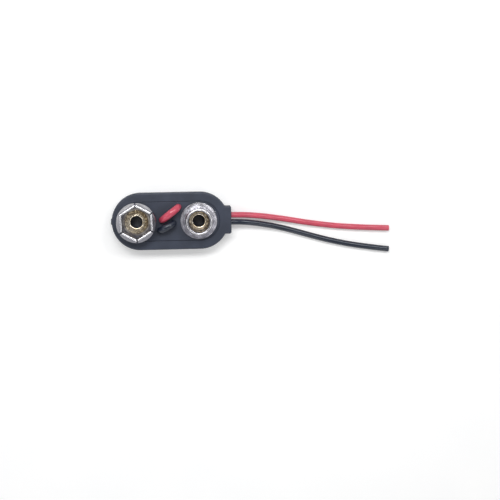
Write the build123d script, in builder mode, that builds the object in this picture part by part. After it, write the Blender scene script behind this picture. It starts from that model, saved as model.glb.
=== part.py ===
from build123d import *
import math
import os

# Snap connector for a nine volt block battery: a moulded cup, a contact plate let into its rim,
# a hexagonal socket and a round stud riveted through the plate, and two leads that are threaded
# up and down through the plate, soldered below it and led out through a boss at one end.
#
# Millimetres. +X runs from the round nose to the lead end, +Y to the side of the red lead and +Z
# out of the contacts. The back lies on z = 0, and the origin is below the middle of the moulding.

# What the battery sets: the two contacts, their distance and their height
contact_spacing = 12.7
contact_rise = 3.75  # crest of both contacts above the face of the plate
stud_radius = 2.72
socket_throat = 5.6  # across the flats inside

# Moulded body
nose_inset = 5.065  # axis of the socket from the round end at the nose
stud_inset = 6.135  # axis of the stud from the round end on the lead side
body_width = 11.7
floor_thickness = 0.8
cavity_depth = 1.85
back_edge_radius = 1.3
rim_edge_radius = 0.3
rim_width = 1.8
base_margin = 0.515  # face of the plate beyond the flat of the socket's base, at the nose
ledge_width = 0.38  # step that the plate rests on
cavity_edge_radius = 0.3
gate_reach = 0.2
gate_radius = 0.6
boss_reach = 0.55  # how far the boss stands out beyond the round end
boss_width = 5.7
boss_bottom = 0.5
boss_edge_radius = 0.35

# Contact plate
plate_thickness = 1.0
plate_recess = 0.1  # face of the plate below the rim
plate_clearance = 0.03
plate_edge_chamfer = 0.06

# Pressed sheet of the contacts
sheet = 0.25
slit_width = 0.28
slit_floor = 0.75  # end of the slits above the face of the plate
flank_run = 0.98  # level distance from the middle of a petal's wall out to its skirt
skirt_length = 2.1  # from the crest down to the free edge of a petal
skirt_tuck = 0.15  # the free edge leans in by this much
tuck_height = 1.0  # from the free edge up to where the skirt is upright
crest_bend = 0.3  # outer radius of the fold along a petal's crest
flank_slope = 46.0  # degrees below the level, outside the crest
shoulder_bend = 0.35  # where the flank turns down into the skirt
socket_turn = 2.0  # degrees, as riveted
fold_gap = 0.1  # between the two walls of the stud
flange_radius = 3.72
flange_lift = 0.3  # free edge of the flange above the plate
foot_bend = 0.3  # inner radius where the stud's wall turns into its flange

# Tubular rivets
rivet_bore = 2.4
rivet_wall = 0.25
rivet_clearance = 0.03
head_thickness = 0.22  # flat ring of the head
lip_width = 0.4  # rolled lip on the ring, round the bore
head_edge_radius = 0.1
socket_head_clearance = 0.35  # from the ring to the flat of the socket's wall
stud_head_clearance = 0.07  # from the ring to the stud's inner wall
tail_radius = 1.9
tail_thickness = 0.22

# Solder tags under the plate
tag_thickness = 0.35
tag_radius = 2.1
tag_width = 1.8
tag_reach = 3.85  # axis of the rivet to the tip of the tag

# Leads
lead_diameter = 1.2
conductor_diameter = 0.6
lead_clearance = 0.05
lying_clearance = 0.02  # between a free lead and the surface that the part stands on
joint_depth = 0.725  # inside the boss, where a threaded stretch meets its free one
joint_lift = 0.4  # slot above the leads' lowest line in the cavity
red_exit_y = 0.9
black_exit_y = -0.56
conductor_length = 1.5
solder_length = 1.3
solder_radius = 0.65
solder_taper = 0.35
solder_shoulder = 0.1
solder_film = 0.05  # between conductor and tag
red_loop_rise = 1.75  # centre of the wire above the face of the plate
black_loop_rise = 1.65
arch_share = 0.49  # bend of a loop as a share of its span: all but a half circle
slot_bend = 2.4  # where a lead turns aside behind the slot
crawl_bend = 3.0  # where it passes the stud's rivet
end_bend = 0.6  # below the plate, beside the tag
end_run = 1.25  # last insulated run, beside the tag
inner_bend_reach = 0.895  # first turn of a lead, inside the cavity's wall
swing_run = 1.66  # from there to where it comes beside the stud's rivet
swing_inset = 0.52
swing_lift = 0.1
red_settle = 1.1  # beyond the stud's axis, where a lead lies along the wall
black_settle = 1.3
black_bow = (4.55, 0.17)  # from the stud's axis and from the line along the wall
# Holes in the plate: x from midway between the contacts, as a share of their distance
red_in_share = 0.174
red_out_share = -0.0937
black_in_share = -0.129
black_out_share = 0.0913
red_in_inset = 1.15  # y from the edge of the seat
red_out_y = 0.3
black_in_y = -1.85
black_out_y = -0.4

# Levels and places that follow
seat_level = floor_thickness + cavity_depth
plate_top = seat_level + plate_thickness
body_height = plate_top + plate_recess
crest_level = plate_top + contact_rise
sheet_top = plate_top + sheet
tag_bottom = seat_level - tag_thickness
body_length = nose_inset + contact_spacing + stud_inset
overall_length = gate_reach + body_length + boss_reach
body_left = gate_reach - overall_length / 2
body_right = body_left + body_length
body_middle = (body_left + body_right) / 2
boss_face = body_right + boss_reach
stud_x = body_right - stud_inset
socket_x = stud_x - contact_spacing
between = (stud_x + socket_x) / 2
throat = socket_throat / 2
petal_reach = throat + sheet + flank_run
seat_left = socket_x - throat - sheet - base_margin
seat_right = body_right - rim_width
seat_middle = (seat_left + seat_right) / 2
seat_length = seat_right - seat_left
seat_width = body_width - 2 * rim_width
lead_radius = lead_diameter / 2
conductor_radius = conductor_diameter / 2
hole_radius = lead_radius + lead_clearance
rivet_outer = rivet_bore / 2 + rivet_wall
rivet_hole = rivet_outer + rivet_clearance
round_end = body_right - body_width / 2
cavity_half_width = seat_width / 2 - ledge_width
crawl_level = floor_thickness + lead_radius + lead_clearance
joint_x = boss_face - joint_depth
joint_level = crawl_level + joint_lift
solder_level = tag_bottom - solder_film - conductor_radius
red_in = (between + red_in_share * contact_spacing, seat_width / 2 - red_in_inset)
red_out = (between + red_out_share * contact_spacing, red_out_y)
black_in = (between + black_in_share * contact_spacing, black_in_y)
black_out = (between + black_out_share * contact_spacing, black_out_y)

os.makedirs("parts", exist_ok=True)


def upright(x):
    """Upright plane through a contact's axis: local x points outwards, local y up."""
    return Plane(origin=(x, 0, 0), x_dir=(1, 0, 0), z_dir=(0, -1, 0))


def bend_radii(points):
    """Radius at each corner of a free route, as large as its shorter run allows."""
    radii = []
    for before, corner, after in zip(points, points[1:], points[2:]):
        run_in = Vector(*corner) - Vector(*before)
        run_out = Vector(*after) - Vector(*corner)
        half_turn = math.radians(run_in.get_angle(run_out)) / 2
        radii.append(0.45 * min(run_in.length, run_out.length) / math.tan(half_turn))
    return radii


# Moulded cup: rounded back, plain rim, a seat for the plate and one slot for both leads
lead_gap = red_exit_y - black_exit_y
slot_middle = (red_exit_y + black_exit_y) / 2
with BuildPart() as shell:
    with BuildSketch(Plane(origin=(body_middle, 0, 0))):
        SlotOverall(body_length, body_width)
    extrude(amount=body_height)
    fillet(shell.faces().sort_by(Axis.Z)[0].edges(), radius=back_edge_radius)
    with BuildSketch(Plane(origin=(round_end, 0, boss_bottom))):
        Rectangle(boss_face - round_end, boss_width, align=(Align.MIN, Align.CENTER))
    extrude(amount=body_height - boss_bottom)
    fillet(shell.edges().filter_by(Axis.Z).group_by(Axis.X)[-1], radius=boss_edge_radius)
    fillet(shell.faces().sort_by(Axis.Z)[-1].outer_wire().edges(), radius=rim_edge_radius)
    boss_foot = shell.faces().filter_by(Axis.Z).filter_by_position(Axis.Z, boss_bottom, boss_bottom)
    foot_edges = boss_foot.edges().filter_by_position(Axis.Z, boss_bottom, boss_bottom)
    fillet(foot_edges.filter_by_position(Axis.X, body_right, boss_face), radius=boss_edge_radius)
    with BuildSketch(Plane(origin=(body_left - gate_reach, 0, body_height / 2), z_dir=(1, 0, 0))):
        Circle(gate_radius)
    extrude(amount=gate_reach + rim_width / 2)
    with BuildSketch(Plane(origin=(seat_middle, 0, seat_level))):
        SlotOverall(seat_length, seat_width)
    extrude(amount=body_height - seat_level, mode=Mode.SUBTRACT)
    with BuildSketch(Plane(origin=(seat_middle, 0, floor_thickness))):
        SlotOverall(seat_length - 2 * ledge_width, seat_width - 2 * ledge_width)
    extrude(amount=seat_level - floor_thickness, mode=Mode.SUBTRACT)
    cavity_floor = shell.faces().filter_by(Axis.Z).filter_by_position(
        Axis.Z, floor_thickness, floor_thickness
    )
    fillet(cavity_floor.edges(), radius=cavity_edge_radius)
    with BuildSketch(
        Plane(origin=(round_end, slot_middle, joint_level), x_dir=(0, 1, 0), z_dir=(1, 0, 0))
    ):
        SlotOverall(lead_gap + 2 * hole_radius, 2 * hole_radius)
    extrude(amount=boss_face - round_end, mode=Mode.SUBTRACT)
shell.part.label = "shell"
export_step(shell.part, "parts/shell.step")


# Contact plate: fills the rim, rests on the ledge and carries both contacts and both loops
with BuildPart() as contact_plate:
    with BuildSketch(Plane(origin=(seat_middle, 0, seat_level))):
        SlotOverall(seat_length - 2 * plate_clearance, seat_width - 2 * plate_clearance)
    extrude(amount=plate_thickness)
    top_edges = contact_plate.faces().sort_by(Axis.Z)[-1].edges()
    chamfer(top_edges, length=plate_edge_chamfer)
    with BuildSketch(Plane.XY.offset(plate_top)):
        with Locations((socket_x, 0), (stud_x, 0)):
            Circle(rivet_hole)
        with Locations(red_in, red_out, black_in, black_out):
            Circle(hole_radius)
    extrude(amount=-plate_thickness, mode=Mode.SUBTRACT)
contact_plate.part.label = "contact_plate"
export_step(contact_plate.part, "parts/contact_plate.step")


# One petal of the socket, a sixth of a turn wide: flat wall, straight folded crest, flat flank and
# round skirt that leans in towards its free edge. The hollow is what the sheet leaves open below it.
slope = math.radians(flank_slope)
skirt_level = crest_level - skirt_length
peak = crest_level - crest_bend + crest_bend * (1 + math.sin(slope)) / math.cos(slope)
far = petal_reach + 1
with BuildPart() as petal_hollow:
    inner_peak = peak - sheet * math.tan(slope) - sheet / math.cos(slope)
    with BuildSketch(upright(0)):
        Polygon(
            (throat + sheet, 0), (throat + sheet, inner_peak),
            (far, inner_peak - (far - throat - sheet) * math.tan(slope)), (far, 0), align=None
        )
    extrude(amount=far, both=True)
    with BuildSketch(upright(0)):
        Polygon(
            (0, 0), (far, 0), (far, skirt_level), (petal_reach - sheet - skirt_tuck, skirt_level),
            (petal_reach - sheet, skirt_level + tuck_height), (petal_reach - sheet, peak), (0, peak),
            align=None
        )
    revolve(axis=Axis.Z, mode=Mode.INTERSECT)
with BuildPart() as petal:
    with BuildSketch(upright(0)):
        Polygon(
            (throat, plate_top), (throat, peak), (far, peak - (far - throat) * math.tan(slope)),
            (far, plate_top), align=None
        )
    extrude(amount=far, both=True)
    with BuildSketch(upright(0)):
        Polygon(
            (0, 0), (petal_reach - skirt_tuck, 0), (petal_reach - skirt_tuck, skirt_level),
            (petal_reach, skirt_level + tuck_height), (petal_reach, peak), (0, peak), align=None
        )
    revolve(axis=Axis.Z, mode=Mode.INTERSECT)
    with BuildSketch(Plane.XY):
        with BuildLine():
            sixth = math.radians(30)
            Line((0, 0), (far * math.cos(sixth), -far * math.sin(sixth)))
            CenterArc((0, 0), far, -30, 60)
            Line((far * math.cos(sixth), far * math.sin(sixth)), (0, 0))
        make_face()
    extrude(amount=peak, mode=Mode.INTERSECT)
    fillet(petal.edges().filter_by(Axis.Y).sort_by(Axis.Z)[-1], radius=crest_bend)
    fillet(petal.edges().filter_by(GeomType.ELLIPSE).sort_by(Axis.X)[-1], radius=shoulder_bend)
    add(petal_hollow.part, mode=Mode.SUBTRACT)

# Socket: six petals round a hexagonal base, parted by slits at the corners
with BuildPart() as socket_contact:
    with Locations(Location((socket_x, 0, 0), (0, 0, socket_turn))):
        with PolarLocations(0, 6):
            add(petal.part)
    with BuildSketch(Plane.XY.offset(plate_top)):
        with Locations(Location((socket_x, 0, 0), (0, 0, socket_turn))):
            RegularPolygon(throat + sheet, 6, major_radius=False, rotation=30)
    extrude(amount=sheet)
    with BuildSketch(Plane.XY.offset(plate_top + slit_floor)):
        with Locations(Location((socket_x, 0, 0), (0, 0, socket_turn))):
            with PolarLocations(0, 6, start_angle=30):
                Rectangle(petal_reach + 1, slit_width, align=(Align.MIN, Align.CENTER))
    extrude(amount=crest_level - plate_top, mode=Mode.SUBTRACT)
    with BuildSketch(Plane.XY.offset(plate_top)):
        with Locations((socket_x, 0)):
            Circle(rivet_hole)
    extrude(amount=sheet, mode=Mode.SUBTRACT)
socket_contact.part.label = "socket_contact"
export_step(socket_contact.part, "parts/socket_contact.step")


# Stud: one drawn piece, from the lifted flange up, over a rolled rim and down to its inner floor
fold_width = 2 * sheet + fold_gap
stud_inner = stud_radius - fold_width
roll_radius = fold_width / 2
roll_level = crest_level - roll_radius
roll_reach = stud_radius - roll_radius
outer_bend = foot_bend + sheet
flange_foot = stud_radius + foot_bend
diagonal = math.sqrt(0.5)
with BuildPart() as stud_contact:
    with BuildSketch(upright(stud_x)):
        with BuildLine():
            Polyline((stud_radius, sheet_top + foot_bend), (stud_radius, roll_level))
            ThreePointArc(
                (stud_radius, roll_level), (roll_reach, crest_level), (stud_inner, roll_level)
            )
            Polyline(
                (stud_inner, roll_level), (stud_inner, sheet_top), (rivet_hole, sheet_top),
                (rivet_hole, plate_top), (stud_inner + sheet, plate_top),
                (stud_inner + sheet, roll_level)
            )
            ThreePointArc(
                (stud_inner + sheet, roll_level), (roll_reach, roll_level + fold_gap / 2),
                (stud_radius - sheet, roll_level)
            )
            Polyline(
                (stud_radius - sheet, roll_level), (stud_radius - sheet, plate_top + outer_bend)
            )
            ThreePointArc(
                (stud_radius - sheet, plate_top + outer_bend),
                (flange_foot - outer_bend * diagonal, plate_top + outer_bend * (1 - diagonal)),
                (flange_foot, plate_top),
            )
            Polyline(
                (flange_foot, plate_top), (flange_radius, plate_top + flange_lift),
                (flange_radius, sheet_top + flange_lift), (flange_foot, sheet_top)
            )
            ThreePointArc(
                (flange_foot, sheet_top),
                (flange_foot - foot_bend * diagonal, sheet_top + foot_bend * (1 - diagonal)),
                (stud_radius, sheet_top + foot_bend),
            )
        make_face()
    revolve(axis=Axis((stud_x, 0, 0), (0, 0, 1)))
stud_contact.part.label = "stud_contact"
export_step(stud_contact.part, "parts/stud_contact.step")


# Tubular rivets: rolled lip and lower ring on the contact, barrel through plate and tag, flared tail
bore = rivet_bore / 2
ring_level = sheet_top + head_thickness
edge_start = head_edge_radius * (1 - diagonal)
for rivet_name, rivet_x, head_radius in (
    ("socket_rivet", socket_x, throat - socket_head_clearance),
    ("stud_rivet", stud_x, stud_inner - stud_head_clearance),
):
    with BuildPart() as rivet:
        with BuildSketch(upright(rivet_x)):
            with BuildLine():
                Polyline(
                    (head_radius, ring_level - head_edge_radius), (head_radius, sheet_top),
                    (rivet_outer, sheet_top), (rivet_outer, tag_bottom), (tail_radius, tag_bottom),
                    (tail_radius, tag_bottom - tail_thickness), (bore, tag_bottom - tail_thickness),
                    (bore, ring_level)
                )
                ThreePointArc(
                    (bore, ring_level), (bore + lip_width / 2, ring_level + lip_width / 2),
                    (bore + lip_width, ring_level)
                )
                Line((bore + lip_width, ring_level), (head_radius - head_edge_radius, ring_level))
                ThreePointArc(
                    (head_radius - head_edge_radius, ring_level),
                    (head_radius - edge_start, ring_level - edge_start),
                    (head_radius, ring_level - head_edge_radius),
                )
            make_face()
        revolve(axis=Axis((rivet_x, 0, 0), (0, 0, 1)))
    rivet.part.label = rivet_name
    export_step(rivet.part, f"parts/{rivet_name}.step")


# Solder tags: a ring round the rivet with a rounded tail that points to the middle
for tag_name, tag_x, side in (("socket_tag", socket_x, 1), ("stud_tag", stud_x, -1)):
    with BuildPart() as tag:
        with BuildSketch(Plane.XY.offset(tag_bottom)):
            with Locations((tag_x, 0)):
                Circle(tag_radius)
            with Locations((tag_x + side * (tag_reach - tag_width / 2) / 2, 0)):
                SlotOverall(tag_reach + tag_width / 2, tag_width)
            with Locations((tag_x, 0)):
                Circle(rivet_hole, mode=Mode.SUBTRACT)
        extrude(amount=tag_thickness)
    tag.part.label = tag_name
    export_step(tag.part, f"parts/{tag_name}.step")


# Threaded stretches: from the boss under the plate, up, over in an arch, down and to the tag
first_turn = seat_right - ledge_width - inner_bend_reach
swing_x = first_turn - swing_run
swing_level = crawl_level + swing_lift
along_wall = cavity_half_width - lead_radius - 2 * lead_clearance
red_top = plate_top + red_loop_rise
black_top = plate_top + black_loop_rise
rise_bend = seat_level - crawl_level - lead_clearance
red_arch = arch_share * math.dist(red_in, red_out)
black_arch = arch_share * math.dist(black_in, black_out)
red_threaded_route = [
    (joint_x, red_exit_y, joint_level),
    (first_turn, red_exit_y, joint_level),
    (swing_x, along_wall - swing_inset, swing_level),
    (stud_x - red_settle, along_wall, crawl_level),
    (*red_in, crawl_level),
    (*red_in, red_top),
    (*red_out, red_top),
    (*red_out, solder_level),
    (red_out[0] - end_run, red_out[1], solder_level),
]
red_threaded_radii = [
    slot_bend, crawl_bend, crawl_bend, rise_bend, red_arch, red_arch, end_bend,
]
black_threaded_route = [
    (joint_x, black_exit_y, joint_level),
    (first_turn, black_exit_y, joint_level),
    (swing_x, swing_inset - along_wall, swing_level),
    (stud_x - black_settle, -along_wall, crawl_level),
    (stud_x - black_bow[0], black_bow[1] - along_wall, crawl_level),
    (*black_in, crawl_level),
    (*black_in, black_top),
    (*black_out, black_top),
    (*black_out, solder_level),
    (black_out[0] + end_run, black_out[1], solder_level),
]
black_threaded_radii = [
    slot_bend, crawl_bend, crawl_bend, crawl_bend, rise_bend, black_arch, black_arch, end_bend,
]

# Free stretches: out of the boss, down to the surface and along it, as far as they are cut. The points
# give x and y from the joint in the boss, and how far the wire's centre is above where it lies flat.
lying_level = lead_radius + lying_clearance
exit_drop = joint_level - lying_level
red_free_points = [
    (0, 0, exit_drop),
    (3.2, 0, exit_drop),
    (7.0, -0.37, 0.66),
    (11.8, -1.13, 0.04),
    (17.0, -2.09, 0),
    (22.4, -2.84, 0.01),
    (28.3, -3.32, 0),
    (33.85, -3.56, 0),
]
black_free_points = [
    (0, 0, exit_drop),
    (3.0, 0, exit_drop),
    (6.6, -0.49, 0.68),
    (11.2, -1.44, 0.06),
    (16.0, -2.86, 0),
    (21.2, -4.36, 0.01),
    (27.6, -5.72, 0),
    (33.8, -6.52, 0),
]
red_free_route = [(joint_x + x, red_exit_y + y, lying_level + z) for x, y, z in red_free_points]
black_free_route = [(joint_x + x, black_exit_y + y, lying_level + z) for x, y, z in black_free_points]

for lead_name, route, radii in (
    ("red_lead_loop", red_threaded_route, red_threaded_radii),
    ("black_lead_loop", black_threaded_route, black_threaded_radii),
    ("red_lead", red_free_route, bend_radii(red_free_route)),
    ("black_lead", black_free_route, bend_radii(black_free_route)),
):
    with BuildPart() as lead:
        with BuildLine():
            path = FilletPolyline(*route, radius=radii)
        with BuildSketch(Plane(origin=path @ 0, z_dir=path % 0)):
            Circle(lead_radius)
        sweep(path=path)
    lead.part.label = lead_name
    export_step(lead.part, f"parts/{lead_name}.step")
    straight_volume = math.pi * lead_radius**2 * path.length
    print(lead_name, "radii", [round(radius, 2) for radius in radii])
    print("  length", round(path.length, 2))
    print("  volume over section times length", round(lead.part.volume / straight_volume, 4))


# Bared ends of the conductors, and the solder that holds them to the underside of the tags
blob_start = (conductor_length - solder_length) / 2
shoulder_radius = conductor_radius + solder_shoulder
for lead_colour, wire_end, side in (
    ("red", red_threaded_route[-1], -1),
    ("black", black_threaded_route[-1], 1),
):
    end_plane = Plane(origin=wire_end, x_dir=(0, 0, 1), z_dir=(side, 0, 0))
    with BuildPart() as conductor:
        with BuildSketch(end_plane):
            Circle(conductor_radius)
        extrude(amount=conductor_length)
    conductor.part.label = f"{lead_colour}_conductor"
    export_step(conductor.part, f"parts/{lead_colour}_conductor.step")

    blob_end = blob_start + solder_length
    with BuildPart() as solder:
        with BuildSketch(Plane(origin=wire_end, x_dir=(side, 0, 0), z_dir=(0, -side, 0))):
            with BuildLine():
                Polyline(
                    (blob_start, conductor_radius), (blob_end, conductor_radius),
                    (blob_end, shoulder_radius), (blob_end - solder_taper, solder_radius),
                    (blob_start + solder_taper, solder_radius), (blob_start, shoulder_radius),
                    close=True
                )
            make_face()
        revolve(axis=Axis(wire_end, (side, 0, 0)))
        split(bisect_by=Plane.XY.offset(tag_bottom), keep=Keep.BOTTOM)
    solder.part.label = f"{lead_colour}_solder"
    export_step(solder.part, f"parts/{lead_colour}_solder.step")
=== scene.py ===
"""Finish, leads and stage of a nine volt battery snap connector, laid out as an add-on.

The moulding, both contacts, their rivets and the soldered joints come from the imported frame. This
file adds the leads, threaded and free, with their cut strands, the finish of every surface, the
floor, the lamps and the camera. Lengths are in metres unless a name ends in _mm.
"""

import math

import bmesh
import bpy
from bpy.props import FloatProperty, FloatVectorProperty, IntProperty, PointerProperty
from mathutils import Matrix, Vector


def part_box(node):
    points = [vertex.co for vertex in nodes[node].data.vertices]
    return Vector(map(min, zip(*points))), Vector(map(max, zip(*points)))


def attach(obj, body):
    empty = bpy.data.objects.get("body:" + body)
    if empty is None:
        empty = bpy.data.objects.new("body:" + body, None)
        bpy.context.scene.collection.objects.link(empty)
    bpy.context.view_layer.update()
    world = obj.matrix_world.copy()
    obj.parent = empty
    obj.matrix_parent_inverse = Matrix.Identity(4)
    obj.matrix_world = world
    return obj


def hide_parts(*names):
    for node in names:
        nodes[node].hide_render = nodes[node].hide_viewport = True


bl_info = {
    "name": "Battery snap connector",
    "version": (1, 0, 0),
    "blender": (4, 5, 0),
    "location": "View3D > Sidebar > Connector",
    "description": "Leads, finishes and stage of a nine volt battery snap connector",
    "category": "Object",
}

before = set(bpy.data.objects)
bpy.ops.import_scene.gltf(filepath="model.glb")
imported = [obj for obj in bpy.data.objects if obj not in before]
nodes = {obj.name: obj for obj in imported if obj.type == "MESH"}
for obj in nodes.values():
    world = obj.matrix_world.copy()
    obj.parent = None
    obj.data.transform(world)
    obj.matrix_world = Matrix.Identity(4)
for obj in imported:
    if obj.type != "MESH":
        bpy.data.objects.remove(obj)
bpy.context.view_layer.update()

MM = 0.001

# Where the free leads start, from the frame: their first run is level and square to the boss
red_low, red_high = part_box("red_lead")
black_low, black_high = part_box("black_lead")
lead_radius = 0.6 * MM
lying_level = red_low.z + lead_radius
socket_axis = (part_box("socket_rivet")[0].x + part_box("socket_rivet")[1].x) / 2
stud_axis = (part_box("stud_rivet")[0].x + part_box("stud_rivet")[1].x) / 2
crest_top_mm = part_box("stud_contact")[1].z / MM


# Limits of a ring zone that has no hole and takes in everything outwards or upwards
NO_HOLE_MM = -1.0
BEYOND_MM = 9.0


# Settings


class LeadSettings(bpy.types.PropertyGroup):
    diameter: FloatProperty(
        name="Lead diameter",
        description="Outer diameter of the insulation",
        default=2 * lead_radius,
        min=0.5 * MM,
        subtype="DISTANCE",
        unit="LENGTH",
    )
    strand_count: IntProperty(
        name="Strands round the middle one",
        description="Strands in the outer ring of the conductor",
        default=6,
        min=3,
        max=12,
    )
    strand_diameter: FloatProperty(
        name="Strand diameter",
        description="Diameter of one copper strand",
        default=0.2 * MM,
        subtype="DISTANCE",
        unit="LENGTH",
    )
    swell: FloatProperty(
        name="Swell in the loops",
        description="How much wider the insulation is where it is bent over the plate",
        default=1.24,
        min=1.0,
        max=1.3,
    )
    pinch: FloatProperty(
        name="Pinch in the holes",
        description="How much of its width the insulation keeps at the foot of each hole",
        default=0.92,
        min=0.8,
        max=1.0,
    )
    red: FloatVectorProperty(
        name="Red insulation",
        description="Colour of the lead to the socket",
        subtype="COLOR",
        default=(0.56, 0.06, 0.105),
        min=0,
        max=1,
    )
    black: FloatVectorProperty(
        name="Black insulation",
        description="Colour of the lead to the stud",
        subtype="COLOR",
        default=(0.0105, 0.0155, 0.03),
        min=0,
        max=1,
    )


class FinishSettings(bpy.types.PropertyGroup):
    moulding: FloatVectorProperty(
        name="Moulding",
        description="Colour of the shell and the contact plate",
        subtype="COLOR",
        default=(0.0165, 0.0225, 0.0405),
        min=0,
        max=1,
    )
    nickel: FloatVectorProperty(
        name="Nickel",
        description="Colour of the plated contacts",
        subtype="COLOR",
        default=(0.74, 0.735, 0.765),
        min=0,
        max=1,
    )
    rivet: FloatVectorProperty(
        name="Rivet brass",
        description="Colour of the tubular rivets where they are clean",
        subtype="COLOR",
        default=(0.74, 0.65, 0.5),
        min=0,
        max=1,
    )
    copper: FloatVectorProperty(
        name="Copper",
        description="Colour of the bare strands",
        subtype="COLOR",
        default=(0.72, 0.35, 0.2),
        min=0,
        max=1,
    )


class StageSettings(bpy.types.PropertyGroup):
    distance: FloatProperty(
        name="Camera distance",
        description="From the camera to the surface that the part lies on",
        default=0.24,
        subtype="DISTANCE",
        unit="LENGTH",
    )
    lens: FloatProperty(
        name="Lens",
        description="Focal length of the camera, in millimetres",
        default=82.62,
        min=20,
        max=200,
    )
    ambient: FloatProperty(
        name="Ambient light",
        description="Strength of the even light from all round",
        default=0.22,
        min=0,
        max=2,
    )
    key: FloatProperty(
        name="Key light",
        description="Power of the main lamp, in watts",
        default=0.35,
        min=0,
        max=10,
    )
    side: FloatProperty(
        name="Side light",
        description="Power of the lamp that gives the leads their shine, in watts",
        default=0.11,
        min=0,
        max=10,
    )
    ring: FloatProperty(
        name="Ring lights",
        description="Power of each lamp in the ring round the part, in watts",
        default=0.0245,
        min=0,
        max=10,
    )


# Shader helpers and the node groups that several finishes share


def wire(tree, source, target):
    tree.links.new(source, target)


def add_node(tree, kind, **values):
    node = tree.nodes.new(kind)
    for name, value in values.items():
        setattr(node, name, value)
    return node


def new_group(name, inputs, outputs):
    """An empty shader group with its sockets. inputs and outputs are (name, kind, default)."""
    group = bpy.data.node_groups.new(name, "ShaderNodeTree")
    for direction, sockets in (("INPUT", inputs), ("OUTPUT", outputs)):
        for socket_name, kind, default in sockets:
            socket = group.interface.new_socket(socket_name, in_out=direction, socket_type=kind)
            if direction == "INPUT" and default is not None:
                socket.default_value = default
    return group, add_node(group, "NodeGroupInput"), add_node(group, "NodeGroupOutput")


def millimetres(tree):
    """Object coordinates in millimetres."""
    place = add_node(tree, "ShaderNodeTexCoord")
    scaled = add_node(tree, "ShaderNodeVectorMath", operation="SCALE")
    scaled.inputs["Scale"].default_value = 1 / MM
    wire(tree, place.outputs["Object"], scaled.inputs[0])
    return scaled.outputs[0]


def noise(tree, place, scale, detail=3.0, roughness=0.5):
    """A noise texture. scale is a number or a socket, in features per millimetre."""
    texture = add_node(tree, "ShaderNodeTexNoise")
    texture.inputs["Detail"].default_value = detail
    texture.inputs["Roughness"].default_value = roughness
    wire(tree, place, texture.inputs["Vector"])
    if isinstance(scale, (int, float)):
        texture.inputs["Scale"].default_value = scale
    else:
        wire(tree, scale, texture.inputs["Scale"])
    return texture.outputs["Fac"]


def ramp(tree, source, low, high, low_value=0.0, high_value=1.0):
    """A clamped linear map of source. low and high are numbers or sockets."""
    mapped = add_node(tree, "ShaderNodeMapRange")
    wire(tree, source, mapped.inputs["Value"])
    for socket_name, value in (("From Min", low), ("From Max", high)):
        if isinstance(value, (int, float)):
            mapped.inputs[socket_name].default_value = value
        else:
            wire(tree, value, mapped.inputs[socket_name])
    mapped.inputs["To Min"].default_value = low_value
    mapped.inputs["To Max"].default_value = high_value
    return mapped.outputs["Result"]


def blend_colour(tree, factor, first, second, blend_type="MIX"):
    """Mix of two colours, each a tuple or a socket."""
    mix = add_node(tree, "ShaderNodeMix", data_type="RGBA", blend_type=blend_type)
    wire(tree, factor, mix.inputs["Factor"])
    for socket, value in ((mix.inputs[6], first), (mix.inputs[7], second)):
        if isinstance(value, bpy.types.NodeSocket):
            wire(tree, value, socket)
        else:
            socket.default_value = (*value[:3], 1)
    return mix.outputs[2]


def calculate(tree, operation, first, second=None):
    """One maths node. Operands are numbers or sockets."""
    node = add_node(tree, "ShaderNodeMath", operation=operation)
    for socket, value in zip(node.inputs, (first, second)):
        if value is None:
            continue
        if isinstance(value, (int, float)):
            socket.default_value = value
        else:
            wire(tree, value, socket)
    return node.outputs[0]


def build_edge_group():
    """Edges: a mask where a rounded normal leaves the true one, for wear and a painted highlight
    along edges, and that rounded normal.
    """
    group, inside, outside = new_group(
        "Edge wear and highlight",
        [
            ("Radius", "NodeSocketFloat", 0.06 * MM),
            ("Reach", "NodeSocketFloat", 0.25),
            ("Breaks per mm", "NodeSocketFloat", 2.0),
        ],
        [("Mask", "NodeSocketFloat", None), ("Normal", "NodeSocketVector", None)],
    )
    rounded = add_node(group, "ShaderNodeBevel", samples=6)
    wire(group, inside.outputs["Radius"], rounded.inputs["Radius"])
    true_normal = add_node(group, "ShaderNodeNewGeometry")
    agreement = add_node(group, "ShaderNodeVectorMath", operation="DOT_PRODUCT")
    wire(group, rounded.outputs["Normal"], agreement.inputs[0])
    wire(group, true_normal.outputs["Normal"], agreement.inputs[1])
    turned = calculate(group, "SUBTRACT", 1.0, agreement.outputs["Value"])
    edge = ramp(group, turned, 0.02, inside.outputs["Reach"])
    breaks = noise(group, millimetres(group), inside.outputs["Breaks per mm"], 4.0, 0.6)
    kept = ramp(group, breaks, 0.35, 0.6)
    wire(group, calculate(group, "MULTIPLY", edge, kept), outside.inputs["Mask"])
    wire(group, rounded.outputs["Normal"], outside.inputs["Normal"])
    return group


def build_grain_group():
    """Moulded or plated skin: slow clouds for the colour and fine grain for the height."""
    group, inside, outside = new_group(
        "Skin grain",
        [
            ("Clouds per mm", "NodeSocketFloat", 0.4),
            ("Grain per mm", "NodeSocketFloat", 9.0),
        ],
        [
            ("Clouds", "NodeSocketFloat", None),
            ("Grain", "NodeSocketFloat", None),
        ],
    )
    place = millimetres(group)
    wire(group, noise(group, place, inside.outputs["Clouds per mm"], 3.0), outside.inputs["Clouds"])
    grain = noise(group, place, inside.outputs["Grain per mm"], 5.0, 0.65)
    wire(group, grain, outside.inputs["Grain"])
    return group


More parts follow.
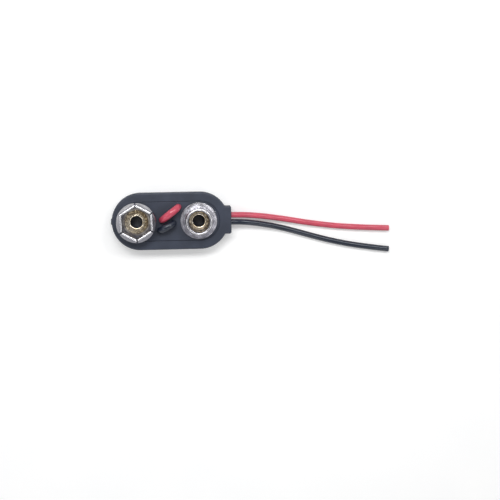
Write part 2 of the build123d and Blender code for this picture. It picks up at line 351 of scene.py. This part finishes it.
def build_speck_group():
    """Specks: scattered spots of uneven size, for tarnish, dust and flaws in plating."""
    group, inside, outside = new_group(
        "Specks",
        [
            ("Specks per mm", "NodeSocketFloat", 4.0),
            ("Share", "NodeSocketFloat", 0.3),
        ],
        [("Mask", "NodeSocketFloat", None)],
    )
    place = millimetres(group)
    warped = add_node(group, "ShaderNodeTexNoise")
    warped.inputs["Scale"].default_value = 3.0
    wire(group, place, warped.inputs["Vector"])
    shifted = add_node(group, "ShaderNodeVectorMath", operation="ADD")
    wire(group, place, shifted.inputs[0])
    wire(group, warped.outputs["Color"], shifted.inputs[1])
    cells = add_node(group, "ShaderNodeTexVoronoi")
    wire(group, inside.outputs["Specks per mm"], cells.inputs["Scale"])
    wire(group, shifted.outputs[0], cells.inputs["Vector"])
    size = noise(group, place, 1.3, 2.0)
    reach = calculate(group, "MULTIPLY", size, inside.outputs["Share"])
    inner = calculate(group, "MULTIPLY", reach, 0.6)
    spot = ramp(group, cells.outputs["Distance"], inner, reach, 1.0, 0.0)
    wire(group, spot, outside.inputs["Mask"])
    return group


def build_ring_group():
    """A ring round an upright axis through y = 0, up to a level: a zone of a finish, for a stain, a
    worn lip, painted highlight and painted shade.
    """
    group, inside, outside = new_group(
        "Ring zone",
        [
            ("Centre x mm", "NodeSocketFloat", 0.0),
            ("Inner mm", "NodeSocketFloat", 0.0),
            ("Outer mm", "NodeSocketFloat", 1.0),
            ("Top mm", "NodeSocketFloat", 5.0),
            ("Softness mm", "NodeSocketFloat", 0.2),
        ],
        [("Mask", "NodeSocketFloat", None)],
    )
    parts = add_node(group, "ShaderNodeSeparateXYZ")
    wire(group, millimetres(group), parts.inputs[0])
    from_axis = calculate(group, "SUBTRACT", parts.outputs["X"], inside.outputs["Centre x mm"])
    squares = calculate(
        group,
        "ADD",
        calculate(group, "MULTIPLY", from_axis, from_axis),
        calculate(group, "MULTIPLY", parts.outputs["Y"], parts.outputs["Y"]),
    )
    radius = calculate(group, "SQRT", squares)
    soft = inside.outputs["Softness mm"]
    inner, outer, top = (inside.outputs[name] for name in ("Inner mm", "Outer mm", "Top mm"))
    beyond = ramp(group, radius, calculate(group, "SUBTRACT", inner, soft), inner)
    within = ramp(group, radius, outer, calculate(group, "ADD", outer, soft), 1.0, 0.0)
    below = ramp(
        group,
        parts.outputs["Z"],
        calculate(group, "SUBTRACT", top, soft),
        calculate(group, "ADD", top, soft),
        1.0,
        0.0,
    )
    ring = calculate(group, "MULTIPLY", beyond, within)
    wire(group, calculate(group, "MULTIPLY", ring, below), outside.inputs["Mask"])
    return group


def build_streak_group():
    """Level streaks round a pressed piece: faint ridges in the sheet, and painted dark reflections
    on it.
    """
    group, inside, outside = new_group(
        "Level streaks",
        [
            ("Lines per mm", "NodeSocketFloat", 5.0),
            ("Wander per mm", "NodeSocketFloat", 0.35),
        ],
        [("Lines", "NodeSocketFloat", None)],
    )
    scales = add_node(group, "ShaderNodeCombineXYZ")
    wire(group, inside.outputs["Wander per mm"], scales.inputs["X"])
    wire(group, inside.outputs["Wander per mm"], scales.inputs["Y"])
    wire(group, inside.outputs["Lines per mm"], scales.inputs["Z"])
    stretched = add_node(group, "ShaderNodeVectorMath", operation="MULTIPLY")
    wire(group, millimetres(group), stretched.inputs[0])
    wire(group, scales.outputs[0], stretched.inputs[1])
    wire(group, noise(group, stretched.outputs[0], 1.0, 3.0, 0.6), outside.inputs["Lines"])
    return group


def build_painted_side_group():
    """A mask over one side of a part, uneven at its border, for painted shade on the contacts and a
    painted highlight on the rivets. Turn is in radians.
    """
    group, inside, outside = new_group(
        "Painted side light",
        [
            ("Centre x mm", "NodeSocketFloat", 0.0),
            ("Turn", "NodeSocketFloat", 0.0),
            ("Start mm", "NodeSocketFloat", -2.0),
            ("End mm", "NodeSocketFloat", 3.0),
        ],
        [("Mask", "NodeSocketFloat", None)],
    )
    place = millimetres(group)
    parts = add_node(group, "ShaderNodeSeparateXYZ")
    wire(group, place, parts.inputs[0])
    from_axis = calculate(group, "SUBTRACT", parts.outputs["X"], inside.outputs["Centre x mm"])
    turn = inside.outputs["Turn"]
    along = calculate(
        group,
        "ADD",
        calculate(group, "MULTIPLY", from_axis, calculate(group, "COSINE", turn)),
        calculate(group, "MULTIPLY", parts.outputs["Y"], calculate(group, "SINE", turn)),
    )
    uneven = ramp(group, noise(group, place, 0.9, 3.0), 0.3, 0.7, -1.0, 1.0)
    reach = calculate(group, "ADD", along, uneven)
    painted_side = ramp(group, reach, inside.outputs["Start mm"], inside.outputs["End mm"])
    wire(group, painted_side, outside.inputs["Mask"])
    return group


GROUP_BUILDERS = {
    "Painted side light": build_painted_side_group,
    "Level streaks": build_streak_group,
    "Ring zone": build_ring_group,
    "Edge wear and highlight": build_edge_group,
    "Skin grain": build_grain_group,
    "Specks": build_speck_group,
}


def place_group(tree, name, **values):
    """The named group in this tree, built on first use. Values go to its inputs by their names."""
    group = bpy.data.node_groups.get(name) or GROUP_BUILDERS[name]()
    node = add_node(tree, "ShaderNodeGroup", node_tree=group)
    for socket_name, value in values.items():
        node.inputs[socket_name.replace("_", " ")].default_value = value
    return node


def overlay(tree, mask, share, below, above):
    """The colour above, laid over the one below where the mask is, by no more than the share."""
    return blend_colour(tree, calculate(tree, "MULTIPLY", mask, share), below, above)


def shade(colour, *shares):
    """The colour times one share, or times a share for each channel."""
    return tuple(c * share for c, share in zip(colour, shares * 3 if len(shares) == 1 else shares))


def lighten(colour, share, lift):
    """The colour times a share, with a little white added."""
    return tuple(min(1, c * share + lift) for c in colour)


def new_material(name):
    """A material with a Principled surface, its tree and that node."""
    material = bpy.data.materials.new(name)
    material.use_nodes = True
    tree = material.node_tree
    return material, tree, tree.nodes["Principled BSDF"]


def bump(tree, height, distance, strength=1.0, normal=None):
    node = add_node(tree, "ShaderNodeBump")
    node.inputs["Strength"].default_value = strength
    node.inputs["Distance"].default_value = distance
    wire(tree, height, node.inputs["Height"])
    if normal is not None:
        wire(tree, normal, node.inputs["Normal"])
    return node.outputs["Normal"]


def dress(node_name, material):
    """Gives a node of the frame its material, on every slot it has."""
    piece = nodes[node_name]
    piece.data.materials.clear()
    piece.data.materials.append(material)


# Finishes


def moulding_material(colour):
    """Near-black moulded plastic: satin, faintly cloudy, with paler edges, partly rubbed wear and
    partly painted highlight.
    """
    material, tree, surface = new_material("moulded_plastic")
    skin = place_group(tree, "Skin grain", Clouds_per_mm=0.35, Grain_per_mm=7.0)
    edge = place_group(tree, "Edge wear and highlight", Radius=0.06 * MM, Reach=0.3, Breaks_per_mm=1.4)
    dust = place_group(tree, "Specks", Specks_per_mm=3.0, Share=0.12)
    pale = lighten(colour, 1.35, 0.004)
    rubbed = lighten(colour, 1.9, 0.03)
    clouds = ramp(tree, skin.outputs["Clouds"], 0.35, 0.68)
    body = blend_colour(tree, clouds, colour, pale)
    dusty = overlay(tree, dust.outputs["Mask"], 0.4, body, rubbed)
    # Paler edges: partly rubbed wear, partly painted highlight
    worn = overlay(tree, edge.outputs["Mask"], 0.35, dusty, rubbed)
    wire(tree, worn, surface.inputs["Base Color"])
    rough = ramp(tree, skin.outputs["Grain"], 0.3, 0.7, 0.38, 0.56)
    wire(tree, rough, surface.inputs["Roughness"])
    normal = bump(tree, skin.outputs["Grain"], 0.012 * MM, 0.5, edge.outputs["Normal"])
    wire(tree, normal, surface.inputs["Normal"])
    return material


def nickel_material(
    name, colour, axis_x, painted_shade, shares, inside_mm, shade_rings_mm, edge_radius, wall_roughness
):
    """Nickel plate on a pressed contact: a painted highlight on its crest, with a painted dark
    reflection in a line below it and darker plate with painted dark streaks further down.

    painted_shade: the direction of the side with painted shade, in degrees, and how dark it is.
    shares: the brightness of the darker plate, and of its painted dark streaks.
    inside_mm: the radius and top of a golden stain within.
    shade_rings_mm: the inner radius, outer radius and top of each grey ring of painted shade.
    edge_radius: how far the edges look rounded, or 0 for edges as they are.
    wall_roughness: the roughness below the crest.
    """
    material, tree, surface = new_material(name)
    centre = axis_x / MM
    shade_turn, shade_share = painted_shade
    skin = place_group(tree, "Skin grain", Clouds_per_mm=0.8, Grain_per_mm=1.1)
    flaws = place_group(tree, "Specks", Specks_per_mm=3.6, Share=0.22)
    draw = place_group(tree, "Level streaks", Lines_per_mm=5.5, Wander_per_mm=0.4)
    painted_side = place_group(
        tree,
        "Painted side light",
        Centre_x_mm=centre,
        Turn=math.radians(shade_turn),
        Start_mm=-3.6,
        End_mm=2.4,
    )
    zones = []
    for inner, outer, top, softness in (
        (NO_HOLE_MM, BEYOND_MM, crest_top_mm - 0.04, 0.03),
        (NO_HOLE_MM, BEYOND_MM, crest_top_mm - 0.3, 0.08),
        (NO_HOLE_MM, *inside_mm, 0.25),
        *((*ring, 0.05) for ring in shade_rings_mm),
    ):
        zone = place_group(
            tree,
            "Ring zone",
            Centre_x_mm=centre,
            Inner_mm=inner,
            Outer_mm=outer,
            Top_mm=top,
            Softness_mm=softness,
        )
        zones.append(zone.outputs["Mask"])
    below_crest, below_line, inside, *shade_rings = zones
    dull, painted_dark_streak = (shade(colour, share) for share in shares)
    # dark is the grey of painted shade: for the shaded side, the line under the crest and the rings
    dark = shade(colour, 0.26, 0.26, 0.29)
    stain = shade(colour, 0.3, 0.27, 0.27)
    golden = shade(colour, 0.95, 0.88, 0.76)
    brown = shade(colour, 0.42, 0.36, 0.3)
    clouds = skin.outputs["Clouds"]
    # Painted dark reflections: level streaks of darker plate on the flanks
    lined = blend_colour(tree, ramp(tree, draw.outputs["Lines"], 0.42, 0.56), painted_dark_streak, dull)
    # Painted shade: one side of the plate darkened
    side_shaded = overlay(tree, painted_side.outputs["Mask"], shade_share, lined, dark)
    # Painted highlight: the crest keeps the full colour. Painted dark reflection: a dark line just
    # below it
    line = calculate(tree, "SUBTRACT", below_crest, below_line)
    shadowed = overlay(tree, line, 0.65, side_shaded, dark)
    plated = overlay(tree, below_crest, 0.95, colour, shadowed)
    marked = overlay(tree, flaws.outputs["Mask"], 0.5, plated, stain)
    warm = blend_colour(tree, ramp(tree, clouds, 0.42, 0.56), brown, golden)
    finished = overlay(tree, inside, 0.7, marked, warm)
    # Rings of painted shade and painted dark reflection, inside the crest and at the foot of the
    # wall
    for ring in shade_rings:
        finished = overlay(tree, ring, 0.75, finished, dark)
    wire(tree, finished, surface.inputs["Base Color"])
    surface.inputs["Metallic"].default_value = 1.0
    polished = ramp(tree, clouds, 0.3, 0.7, 0.16, 0.09)
    uneven = 0.06
    matt = ramp(tree, clouds, 0.3, 0.7, wall_roughness + uneven, wall_roughness - uneven)
    lowered = add_node(tree, "ShaderNodeMix", data_type="FLOAT")
    wire(tree, below_line, lowered.inputs["Factor"])
    wire(tree, polished, lowered.inputs["A"])
    wire(tree, matt, lowered.inputs["B"])
    wire(tree, lowered.outputs["Result"], surface.inputs["Roughness"])
    rounded = None
    if edge_radius:
        edge = place_group(tree, "Edge wear and highlight", Radius=edge_radius, Reach=0.3, Breaks_per_mm=1.4)
        rounded = edge.outputs["Normal"]
    dents = bump(tree, skin.outputs["Grain"], 0.035 * MM, 0.5, rounded)
    wire(tree, bump(tree, draw.outputs["Lines"], 0.02 * MM, 0.5, dents), surface.inputs["Normal"])
    return material


def rivet_material(name, colour, axis_x, lip_mm):
    """Brass with most plating gone: bright on the rolled lip, brown and specked beyond it, with a
    painted highlight over one side.
    """
    material, tree, surface = new_material(name)
    skin = place_group(tree, "Skin grain", Clouds_per_mm=2.2, Grain_per_mm=2.6)
    tarnish = place_group(tree, "Specks", Specks_per_mm=2.4, Share=0.9)
    lip = place_group(
        tree,
        "Ring zone",
        Centre_x_mm=axis_x / MM,
        Inner_mm=NO_HOLE_MM,
        Outer_mm=lip_mm,
        Top_mm=BEYOND_MM,
        Softness_mm=0.12,
    )
    golden = shade(colour, 0.94, 0.87, 0.74)
    shaded = shade(colour, 0.25, 0.2, 0.15)
    brown = shade(colour, 0.12, 0.08, 0.05)
    bright = shade(colour, 1.22, 1.28, 1.4)
    clouds = skin.outputs["Clouds"]
    painted_side = place_group(
        tree,
        "Painted side light",
        Centre_x_mm=axis_x / MM,
        Turn=math.radians(-145),
        Start_mm=-0.8,
        End_mm=2.2,
    )
    mottled = blend_colour(tree, ramp(tree, clouds, 0.44, 0.58), shaded, golden)
    # Painted highlight: one side of the head lightened towards the bright colour
    painted_lit_field = overlay(tree, painted_side.outputs["Mask"], 0.45, mottled, bright)
    spotted = overlay(tree, tarnish.outputs["Mask"], 0.8, painted_lit_field, brown)
    rubbed = blend_colour(tree, ramp(tree, clouds, 0.38, 0.56), golden, bright)
    lipped = overlay(tree, lip.outputs["Mask"], 0.85, spotted, rubbed)
    wire(tree, lipped, surface.inputs["Base Color"])
    surface.inputs["Metallic"].default_value = 1.0
    wire(tree, ramp(tree, clouds, 0.3, 0.7, 0.28, 0.14), surface.inputs["Roughness"])
    dents = bump(tree, skin.outputs["Grain"], 0.07 * MM, 0.6)
    wire(tree, dents, surface.inputs["Normal"])
    return material


def insulation_material(name, colour, gloss, sheen, tint):
    """Soft plastic insulation: a little gloss, faint drawn waves and scuffs. gloss is the weight
    of its shiny skin, and sheen and tint the level and colour of the softer shine below it."""
    material, tree, surface = new_material(name)
    skin = place_group(tree, "Skin grain", Clouds_per_mm=0.5, Grain_per_mm=5.0)
    creases = place_group(tree, "Skin grain", Clouds_per_mm=0.5, Grain_per_mm=0.8)
    scuffs = place_group(tree, "Specks", Specks_per_mm=2.2, Share=0.14)
    deep = shade(colour, 0.86)
    pale = lighten(colour, 1.12, 0.002)
    rubbed = lighten(colour, 1.3, 0.03)
    tone = blend_colour(tree, ramp(tree, skin.outputs["Clouds"], 0.3, 0.7), deep, pale)
    scuffed = overlay(tree, scuffs.outputs["Mask"], 0.25, tone, rubbed)
    wire(tree, scuffed, surface.inputs["Base Color"])
    rough = ramp(tree, skin.outputs["Grain"], 0.3, 0.7, 0.38, 0.52)
    wire(tree, rough, surface.inputs["Roughness"])
    surface.inputs["Specular IOR Level"].default_value = sheen
    surface.inputs["Specular Tint"].default_value = (*tint, 1)
    surface.inputs["Coat Weight"].default_value = gloss
    surface.inputs["Coat Roughness"].default_value = 0.08
    creased = bump(tree, creases.outputs["Grain"], 0.12 * MM, 0.5)
    normal = bump(tree, skin.outputs["Grain"], 0.015 * MM, 0.5, creased)
    wire(tree, normal, surface.inputs["Normal"])
    return material


def metal_material(name, colour, roughness, grain_per_mm, depth):
    """Plain soft metal with a drawn or set skin, for strands, tags and solder."""
    material, tree, surface = new_material(name)
    skin = place_group(tree, "Skin grain", Clouds_per_mm=1.2, Grain_per_mm=grain_per_mm)
    dark = shade(colour, 0.6)
    tone = blend_colour(tree, ramp(tree, skin.outputs["Clouds"], 0.3, 0.65), dark, colour)
    wire(tree, tone, surface.inputs["Base Color"])
    surface.inputs["Metallic"].default_value = 1.0
    rough = ramp(tree, skin.outputs["Grain"], 0.3, 0.7, roughness, roughness + 0.15)
    wire(tree, rough, surface.inputs["Roughness"])
    normal = bump(tree, skin.outputs["Grain"], depth, 0.7)
    wire(tree, normal, surface.inputs["Normal"])
    return material


# Free leads: the same points as in the part's source, from the joint inside the boss. x runs away
# from the boss, y to the red side, and z is how far the wire's centre is above where it lies flat.

exit_drop = red_high.z - lead_radius - lying_level
red_route_mm = [
    (0, 0, exit_drop / MM),
    (3.2, 0, exit_drop / MM),
    (7.0, -0.37, 0.66),
    (11.8, -1.13, 0.04),
    (17.0, -2.09, 0),
    (22.4, -2.84, 0.01),
    (28.3, -3.32, 0),
    (33.85, -3.56, 0),
]
black_route_mm = [
    (0, 0, exit_drop / MM),
    (3.0, 0, exit_drop / MM),
    (6.6, -0.49, 0.68),
    (11.2, -1.44, 0.06),
    (16.0, -2.86, 0),
    (21.2, -4.36, 0.01),
    (27.6, -5.72, 0),
    (33.8, -6.52, 0),
]
red_lead_length = 34.2 * MM
black_lead_length = 34.6 * MM


# Threaded stretches, with the same points as in the part's source: along the cavity, up through the
# plate, over in a loop, down again and to the tag. The two points at the top of the loop swell.
red_loop_mm = [
    (11.6, 0.9, 1.85),
    (8.7, 0.9, 1.85),
    (7.04, 2.45, 1.55),
    (4.54, 2.97, 1.45),
    (1.5, 2.9, 1.45),
    (1.5, 2.9, 5.4),
    (-1.9, 0.3, 5.4),
    (-1.9, 0.3, 1.95),
    (-3.15, 0.3, 1.95),
]
black_loop_mm = [
    (11.6, -0.56, 1.85),
    (8.7, -0.56, 1.85),
    (7.04, -2.45, 1.55),
    (4.34, -2.97, 1.45),
    (1.09, -2.8, 1.45),
    (-2.35, -1.85, 1.45),
    (-2.35, -1.85, 5.3),
    (0.45, -0.4, 5.3),
    (0.45, -0.4, 1.95),
    (1.7, -0.4, 1.95),
]


def lead_points(low, high, route_mm):
    """The route's points in the row frame, from the start of the lead's own solid."""
    start = Vector((low.x, high.y - lead_radius, lying_level))
    return [start + Vector(step) * MM for step in route_mm]


def link_object(name, data):
    """A new object with that data, in the scene."""
    piece = bpy.data.objects.new(name, data)
    bpy.context.scene.collection.objects.link(piece)
    return piece


def link_mesh(name, mesh):
    """The same for a mesh that was built by hand, which is freed."""
    data = bpy.data.meshes.new(name)
    mesh.to_mesh(data)
    mesh.free()
    return link_object(name, data)


def smooth_line(name, points, radius):
    """One open curve with the points as its control points, and a round section."""
    curve = bpy.data.curves.new(name, "CURVE")
    curve.dimensions = "3D"
    curve.bevel_depth = radius
    curve.bevel_resolution = 7
    curve.resolution_u = 16
    curve.use_fill_caps = True
    spline = curve.splines.new("NURBS")
    spline.points.add(len(points) - 1)
    for control, point in zip(spline.points, points):
        control.co = (*point, 1)
    spline.order_u = 3
    spline.use_endpoint_u = True
    return link_object(name, curve)


def strand_bundle(name, end, direction, count, diameter):
    """Cut strands that stand just proud of the insulation's end: one in the middle and a ring."""
    mesh = bmesh.new()
    proud = 0.06 * MM
    sunk = 0.25 * MM
    ring_turn = 0.3  # of the step from one strand to the next
    taper = 0.94  # of the width, left at the cut
    along = direction.normalized()
    upright = Vector((0, 0, 1))
    across = along.cross(upright).normalized()
    above = across.cross(along)
    places = [(0.0, 0.0)]
    for index in range(count):
        turn = 2 * math.pi * (index + ring_turn) / count
        places.append((diameter * math.cos(turn), diameter * math.sin(turn)))
    turned = along.to_track_quat("Z", "Y").to_matrix().to_4x4()
    for index, (sideways, upwards) in enumerate(places):
        reach = proud * (1 + 0.5 * math.sin(2.3 * index))
        middle = end + across * sideways + above * upwards + along * (reach - sunk) / 2
        bmesh.ops.create_cone(
            mesh,
            cap_ends=True,
            segments=14,
            radius1=diameter / 2,
            radius2=diameter / 2 * taper,
            depth=reach + sunk,
            matrix=Matrix.Translation(middle) @ turned,
        )
    return link_mesh(name, mesh)


class CONNECTOR_OT_leads(bpy.types.Operator):
    """Lays the two free leads along their routes, with the cut strands at their ends"""

    bl_idname = "connector.leads"
    bl_label = "Lay leads"

    def execute(self, context):
        settings = context.scene.connector_leads
        radius = settings.diameter / 2
        copper = metal_material(
            "cut_copper", context.scene.connector_finish.copper, 0.3, 6.0, 0.01 * MM
        )
        # Gloss, sheen and its tint
        shines = {"red": (0.7, 0.25, (1, 1, 1)), "black": (0.9, 0.08, (0.5, 0.7, 1))}
        for side, low, high, route_mm, length, colour in (
            ("red", red_low, red_high, red_route_mm, red_lead_length, settings.red),
            ("black", black_low, black_high, black_route_mm, black_lead_length, settings.black),
        ):
            points = lead_points(low, high, route_mm)
            lead = smooth_line(f"{side}_lead_free", points, radius)
            insulation = insulation_material(f"{side}_soft_plastic", colour, *shines[side])
            lead.data.materials.append(insulation)
            strands = strand_bundle(
                f"{side}_lead_strands",
                points[-1],
                points[-1] - points[-2],
                settings.strand_count,
                settings.strand_diameter,
            )
            strands.data.materials.append(copper)
            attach(lead, "root")
            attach(strands, "root")
            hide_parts(f"{side}_lead")
        return {"FINISHED"}


class CONNECTOR_OT_loops(bpy.types.Operator):
    """Threads each lead through the plate, a little wider where it is bent into its loop"""

    bl_idname = "connector.loops"
    bl_label = "Thread loops"

    def execute(self, context):
        settings = context.scene.connector_leads
        for side, route_mm in (("red", red_loop_mm), ("black", black_loop_mm)):
            points = [Vector(point) * MM for point in route_mm]
            loop = smooth_line(f"{side}_loop", points, settings.diameter / 2)
            near_top = max(point.z for point in points) - 0.1 * MM
            controls = loop.data.splines[0].points
            at_top = [control.co.z > near_top for control in controls]
            for index, control in enumerate(controls):
                if at_top[index]:
                    control.radius = settings.swell
                elif any(at_top[max(index - 1, 0) : index + 2]):
                    control.radius = settings.pinch
            # The frame has materials of its own under the names of the slots
            loop.data.materials.append(bpy.data.materials[f"{side}_soft_plastic"])
            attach(loop, "root")
            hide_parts(f"{side}_lead_loop")
        return {"FINISHED"}


class CONNECTOR_OT_moulding(bpy.types.Operator):
    """Finishes the shell and the contact plate"""

    bl_idname = "connector.moulding"
    bl_label = "Finish moulding"

    def execute(self, context):
        plastic = moulding_material(context.scene.connector_finish.moulding)
        dress("shell", plastic)
        dress("contact_plate", plastic)
        return {"FINISHED"}


class CONNECTOR_OT_contacts(bpy.types.Operator):
    """Finishes the socket and the stud in nickel"""

    bl_idname = "connector.contacts"
    bl_label = "Finish contacts"

    def execute(self, context):
        nickel = context.scene.connector_finish.nickel
        dress(
            "socket_contact",
            nickel_material(
                "socket_nickel",
                nickel,
                socket_axis,
                painted_shade=(-66, 0.85),
                shares=(0.66, 0.35),
                inside_mm=(2.75, 4.5),
                shade_rings_mm=[(2.79, 2.98, 7.05)],
                edge_radius=0,
                wall_roughness=0.15,
            ),
        )
        dress(
            "stud_contact",
            nickel_material(
                "stud_nickel",
                nickel,
                stud_axis,
                painted_shade=(-105, 0.6),
                shares=(1.0, 0.5),
                inside_mm=(2.45, 7.2),
                shade_rings_mm=[(1.9, 2.46, 7.42), (2.86, 3.02, 7.2)],
                edge_radius=0.04 * MM,
                wall_roughness=0.2,
            ),
        )
        return {"FINISHED"}


class CONNECTOR_OT_rivets(bpy.types.Operator):
    """Finishes both tubular rivets in worn brass"""

    bl_idname = "connector.rivets"
    bl_label = "Finish rivets"

    def execute(self, context):
        brass = context.scene.connector_finish.rivet
        lip_mm = 1.62
        dress("socket_rivet", rivet_material("socket_brass", brass, socket_axis, lip_mm))
        dress("stud_rivet", rivet_material("stud_brass", brass, stud_axis, lip_mm))
        return {"FINISHED"}


class CONNECTOR_OT_joints(bpy.types.Operator):
    """Finishes the tags, bared conductors and solder inside the shell"""

    bl_idname = "connector.joints"
    bl_label = "Finish soldered joints"

    def execute(self, context):
        tinned = metal_material("tinned_brass", (0.62, 0.6, 0.52), 0.35, 4.0, 0.01 * MM)
        solder = metal_material("set_solder", (0.55, 0.56, 0.58), 0.28, 3.0, 0.02 * MM)
        copper = bpy.data.materials["cut_copper"]
        for node_name, material in (
            ("socket_tag", tinned),
            ("stud_tag", tinned),
            ("red_conductor", copper),
            ("black_conductor", copper),
            ("red_solder", solder),
            ("black_solder", solder),
        ):
            dress(node_name, material)
        return {"FINISHED"}


# Stage


def seen_in_metal(tree, path):
    """One where the ray is a reflection or a refraction."""
    return calculate(
        tree, "MAXIMUM", path.outputs["Is Glossy Ray"], path.outputs["Is Transmission Ray"]
    )


def build_world(ambient, overhead):
    """Even light from all round. The camera sees it white, and metal sees it greyer overhead."""
    world = bpy.data.worlds.new("white_studio")
    bpy.context.scene.world = world
    world.use_nodes = True
    tree = world.node_tree
    path = add_node(tree, "ShaderNodeLightPath")
    height = add_node(tree, "ShaderNodeSeparateXYZ")
    wire(tree, add_node(tree, "ShaderNodeTexCoord").outputs["Generated"], height.inputs[0])
    mirrored = ramp(tree, height.outputs["Z"], 0.4, 0.85, 1.0, overhead)
    in_metal = seen_in_metal(tree, path)
    lit = calculate(tree, "MULTIPLY", calculate(tree, "SUBTRACT", 1.0, in_metal), ambient)
    strength = calculate(tree, "ADD", lit, calculate(tree, "MULTIPLY", in_metal, mirrored))
    background = tree.nodes["Background"]
    background.inputs["Color"].default_value = (1, 1, 1, 1)
    wire(
        tree,
        calculate(tree, "MAXIMUM", strength, path.outputs["Is Camera Ray"]),
        background.inputs["Strength"],
    )


def floor_material(lift, near, far):
    """White paper that keeps shadows: a plain matt white, lifted for the camera and for metal. The
    lift grows to full white from near to far, where the light of the lamps falls off."""
    material = bpy.data.materials.new("white_floor")
    material.use_nodes = True
    tree = material.node_tree
    tree.nodes.clear()
    matt = add_node(tree, "ShaderNodeBsdfDiffuse")
    grain = noise(tree, millimetres(tree), 0.05, 3.0)
    tone = blend_colour(tree, ramp(tree, grain, 0.3, 0.7), (0.79, 0.795, 0.8), (0.82, 0.82, 0.82))
    wire(tree, tone, matt.inputs["Color"])
    glow = add_node(tree, "ShaderNodeEmission")
    path = add_node(tree, "ShaderNodeLightPath")
    seen = calculate(tree, "MAXIMUM", path.outputs["Is Camera Ray"], seen_in_metal(tree, path))
    distance = add_node(tree, "ShaderNodeVectorMath", operation="LENGTH")
    wire(tree, add_node(tree, "ShaderNodeTexCoord").outputs["Object"], distance.inputs[0])
    lifted = ramp(tree, distance.outputs["Value"], near, far, lift, 1.0)
    wire(tree, calculate(tree, "MULTIPLY", seen, lifted), glow.inputs["Strength"])
    both = add_node(tree, "ShaderNodeAddShader")
    wire(tree, matt.outputs[0], both.inputs[0])
    wire(tree, glow.outputs[0], both.inputs[1])
    output = add_node(tree, "ShaderNodeOutputMaterial")
    wire(tree, both.outputs[0], output.inputs["Surface"])
    return material


# Where the lamps face, how far from there each one hangs, and its width and height
lit_middle = Vector((0.005, 0, 0.003))
key_from_middle = Vector((-0.03, 0.12, 0.24))
key_size = 0.18, 0.075
side_from_middle = Vector((0.11, 0.12, 0.22))
side_size = 0.12, 0.05
ring_lamp_count = 12
ring_radius = 0.17
ring_height = 0.2
ring_lamp_width = 0.05

# Share of full white: the world overhead as metal sees it, and the lift of the floor, which grows
# between the two distances from the part
overhead_white = 0.42
floor_lift = 0.26
lift_near, lift_far = 0.12, 0.4
floor_half = 1.5


def add_lamp(name, from_middle, width, height, power):
    """A soft oval lamp that faces the middle of the part. Its width lies level."""
    lamp = bpy.data.lights.new(name, "AREA")
    lamp.shape = "ELLIPSE"
    lamp.size = width
    lamp.size_y = height
    lamp.energy = power
    holder = link_object(name, lamp)
    holder.location = lit_middle + from_middle
    holder.rotation_mode = "QUATERNION"
    holder.rotation_quaternion = (-from_middle).to_track_quat("-Z", "Y")


# Camera: turned from straight down by one small rotation, so that it looks from slightly above
# the red side and the nose, at a point to the right of the contacts
camera_turn = Vector((-0.10805, -0.06547, -0.02015))
camera_target = Vector((16.279, -6.711, 0)) * MM


def add_camera(distance, lens):
    data = bpy.data.cameras.new("photo_camera")
    data.sensor_width = 36
    data.lens = lens
    data.clip_start = 0.01
    data.clip_end = 10
    camera = link_object("photo_camera", data)
    turn = Matrix.Rotation(camera_turn.length, 4, camera_turn.normalized())
    back = turn.to_3x3() @ Vector((0, 0, 1))
    camera.matrix_world = Matrix.Translation(camera_target + back * distance) @ turn
    bpy.context.scene.camera = camera


class CONNECTOR_OT_stage(bpy.types.Operator):
    """Sets the floor, the lamps, the white surround and the camera"""

    bl_idname = "connector.stage"
    bl_label = "Set stage"

    def execute(self, context):
        settings = context.scene.connector_stage
        mesh = bmesh.new()
        bmesh.ops.create_grid(mesh, x_segments=1, y_segments=1, size=floor_half)
        floor = link_mesh("floor", mesh)
        floor.data.materials.append(floor_material(floor_lift, lift_near, lift_far))
        build_world(settings.ambient, overhead_white)
        add_lamp("key_lamp", key_from_middle, *key_size, settings.key)
        add_lamp("side_lamp", side_from_middle, *side_size, settings.side)
        for index in range(ring_lamp_count):
            turn = 2 * math.pi * index / ring_lamp_count
            add_lamp(
                f"ring_lamp_{index + 1}",
                Vector((ring_radius * math.cos(turn), ring_radius * math.sin(turn), ring_height)),
                ring_lamp_width,
                ring_lamp_width,
                settings.ring,
            )
        add_camera(settings.distance, settings.lens)
        context.scene.view_settings.view_transform = "Standard"
        return {"FINISHED"}


class CONNECTOR_PT_panel(bpy.types.Panel):
    """Lists the steps in the 3D view's sidebar"""

    bl_idname = "CONNECTOR_PT_panel"
    bl_label = "Battery snap connector"
    bl_space_type = "VIEW_3D"
    bl_region_type = "UI"
    bl_category = "Connector"

    def draw(self, context):
        layout = self.layout
        for settings in (
            context.scene.connector_leads,
            context.scene.connector_finish,
            context.scene.connector_stage,
        ):
            box = layout.box()
            for name in settings.__annotations__:
                box.prop(settings, name)
        for operator in OPERATORS:
            layout.operator(operator.bl_idname)


OPERATORS = (
    CONNECTOR_OT_stage,
    CONNECTOR_OT_leads,
    CONNECTOR_OT_loops,
    CONNECTOR_OT_moulding,
    CONNECTOR_OT_contacts,
    CONNECTOR_OT_rivets,
    CONNECTOR_OT_joints,
)
CLASSES = (LeadSettings, FinishSettings, StageSettings, *OPERATORS, CONNECTOR_PT_panel)


def register():
    for cls in CLASSES:
        bpy.utils.register_class(cls)
    bpy.types.Scene.connector_leads = PointerProperty(type=LeadSettings)
    bpy.types.Scene.connector_finish = PointerProperty(type=FinishSettings)
    bpy.types.Scene.connector_stage = PointerProperty(type=StageSettings)


def unregister():
    del bpy.types.Scene.connector_stage
    del bpy.types.Scene.connector_finish
    del bpy.types.Scene.connector_leads
    for cls in reversed(CLASSES):
        bpy.utils.unregister_class(cls)


def main():
    register()
    bpy.ops.connector.stage()
    bpy.ops.connector.leads()
    bpy.ops.connector.loops()
    bpy.ops.connector.moulding()
    bpy.ops.connector.contacts()
    bpy.ops.connector.rivets()
    bpy.ops.connector.joints()


if __name__ == "__main__":
    main()
